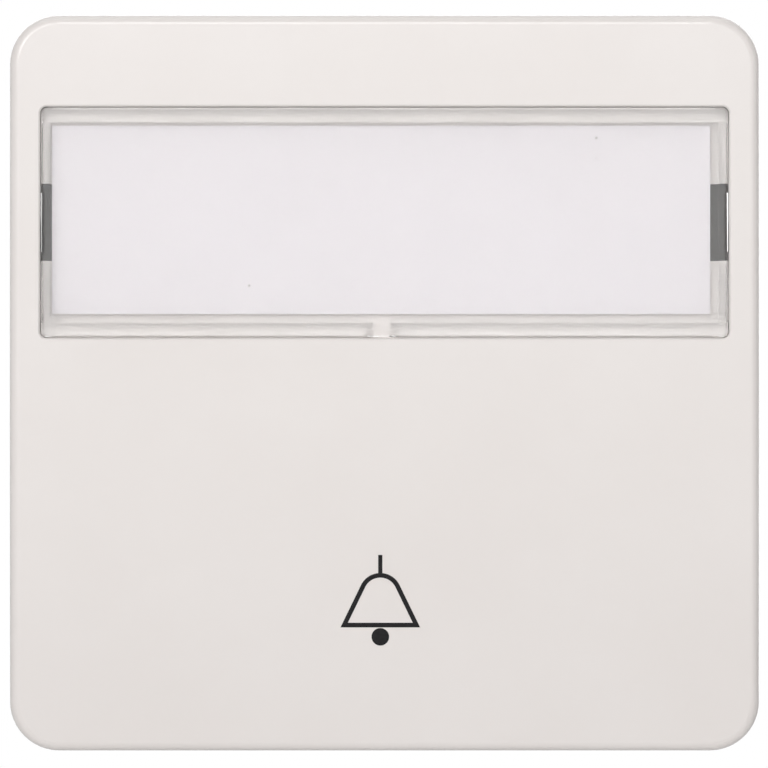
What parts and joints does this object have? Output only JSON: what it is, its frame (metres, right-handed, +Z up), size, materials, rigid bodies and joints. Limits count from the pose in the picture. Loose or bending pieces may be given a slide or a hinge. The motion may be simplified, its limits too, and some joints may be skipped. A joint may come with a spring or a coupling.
{
  "type": "pushbutton switch",
  "caption": "Flush-mounted bell pushbutton: a tilting white rocker with a clear label window on a sprung contact insert with support plate, spreading claws and push-in terminals.",
  "frame": {"origin": "centre of the support plate in the wall plane, between the box screw slots", "axes": "+X to the right seen from the front, +Y into the wall, +Z up"},
  "size_m": [0.07, 0.0366, 0.0688],
  "materials": {
    "white_plastic": "satin moulded, faintly warm white",
    "clear_plastic": "clear moulded plastic, polished",
    "label_paper": "blank white card",
    "grey_plastic": "light grey moulded plastic",
    "dark_plastic": "black moulded plastic, fine texture",
    "lever_plastic": "mid grey moulded plastic",
    "plunger_plastic": "natural white acetal",
    "zinc_steel": "zinc-plated sheet steel",
    "dark_steel": "phosphated sheet steel, dull",
    "spring_steel": "bright spring steel",
    "contact_brass": "rolled brass strip",
    "contact_silver": "silver contact tips"
  },
  "bodies": {
    "insert": {"support_plate": "dark_steel", "housing_base": "dark_plastic", "housing_cover": "grey_plastic", "plate_rivets": "zinc_steel", "return_spring": "spring_steel", "terminal_bar_left": "contact_brass", "terminal_bar_right": "contact_brass", "fixed_contact_left": "contact_silver", "fixed_contact_right": "contact_silver", "clamp_spring_left": "spring_steel", "clamp_spring_right": "spring_steel"},
    "rocker": {"rocker": "white_plastic", "label_window": "clear_plastic", "label_card": "label_paper", "rocker_cradle": "grey_plastic"},
    "plunger": {"plunger": "plunger_plastic", "contact_bridge": "contact_brass", "bridge_contact_left": "contact_silver", "bridge_contact_right": "contact_silver"},
    "release_lever_left": {"release_lever_left": "lever_plastic"},
    "claw_screw_left": {"claw_screw_left": "zinc_steel"},
    "claw_nut_left": {"claw_nut_left": "zinc_steel"},
    "claw_left": {"claw_left": "zinc_steel"},
    "release_lever_right": {"release_lever_right": "lever_plastic"},
    "claw_screw_right": {"claw_screw_right": "zinc_steel"},
    "claw_nut_right": {"claw_nut_right": "zinc_steel"},
    "claw_right": {"claw_right": "zinc_steel"}
  },
  "joints": [
    {"name": "rocker_tilt", "type": "hinge", "parent": "insert", "child": "rocker", "pos_m": [0, -0.00529, 0], "axis": [1, 0, 0], "range_deg": [0, 5], "stiffness_Nm_per_rad": 0.8, "springref_deg": -1.72},
    {"name": "plunger_press", "type": "slide", "parent": "insert", "child": "plunger", "axis": [0, 1, 0], "range_m": [0, 0.00131], "deforming": ["return_spring"]},
    {"name": "release_press_left", "type": "slide", "parent": "insert", "child": "release_lever_left", "axis": [0, -1, 0], "range_m": [0, 0.0016], "stiffness_N_per_m": 800, "springref_m": -0.0005, "deforming": ["clamp_spring_left"]},
    {"name": "claw_screw_turn_left", "type": "hinge", "parent": "insert", "child": "claw_screw_left", "pos_m": [-0.024, 0, 0], "axis": [0, 1, 0], "range_deg": [0, 2881]},
    {"name": "claw_nut_draw_left", "type": "slide", "parent": "insert", "child": "claw_nut_left", "axis": [0, -1, 0], "range_m": [0, 0.004]},
    {"name": "claw_swing_left", "type": "hinge", "parent": "claw_nut_left", "child": "claw_left", "pos_m": [-0.0274, 0.015, 0], "axis": [0, 0, -1], "range_deg": [0, 20.05]},
    {"name": "release_press_right", "type": "slide", "parent": "insert", "child": "release_lever_right", "axis": [0, -1, 0], "range_m": [0, 0.0016], "stiffness_N_per_m": 800, "springref_m": -0.0005, "deforming": ["clamp_spring_right"]},
    {"name": "claw_screw_turn_right", "type": "hinge", "parent": "insert", "child": "claw_screw_right", "pos_m": [0.024, 0, 0], "axis": [0, 1, 0], "range_deg": [0, 2881]},
    {"name": "claw_nut_draw_right", "type": "slide", "parent": "insert", "child": "claw_nut_right", "axis": [0, -1, 0], "range_m": [0, 0.004]},
    {"name": "claw_swing_right", "type": "hinge", "parent": "claw_nut_right", "child": "claw_right", "pos_m": [0.0274, 0.015, 0], "axis": [0, 0, 1], "range_deg": [0, 20.05]}
  ],
  "couplings": [
    {"joint": "plunger_press", "follows": "rocker_tilt", "m_per_rad": 0.015},
    {"joint": "claw_screw_turn_left", "follows": "claw_nut_draw_left", "rad_per_m": 12566},
    {"joint": "claw_swing_left", "follows": "claw_nut_draw_left", "rad_per_m": 87.266},
    {"joint": "claw_screw_turn_right", "follows": "claw_nut_draw_right", "rad_per_m": 12566},
    {"joint": "claw_swing_right", "follows": "claw_nut_draw_right", "rad_per_m": 87.266}
  ]
}
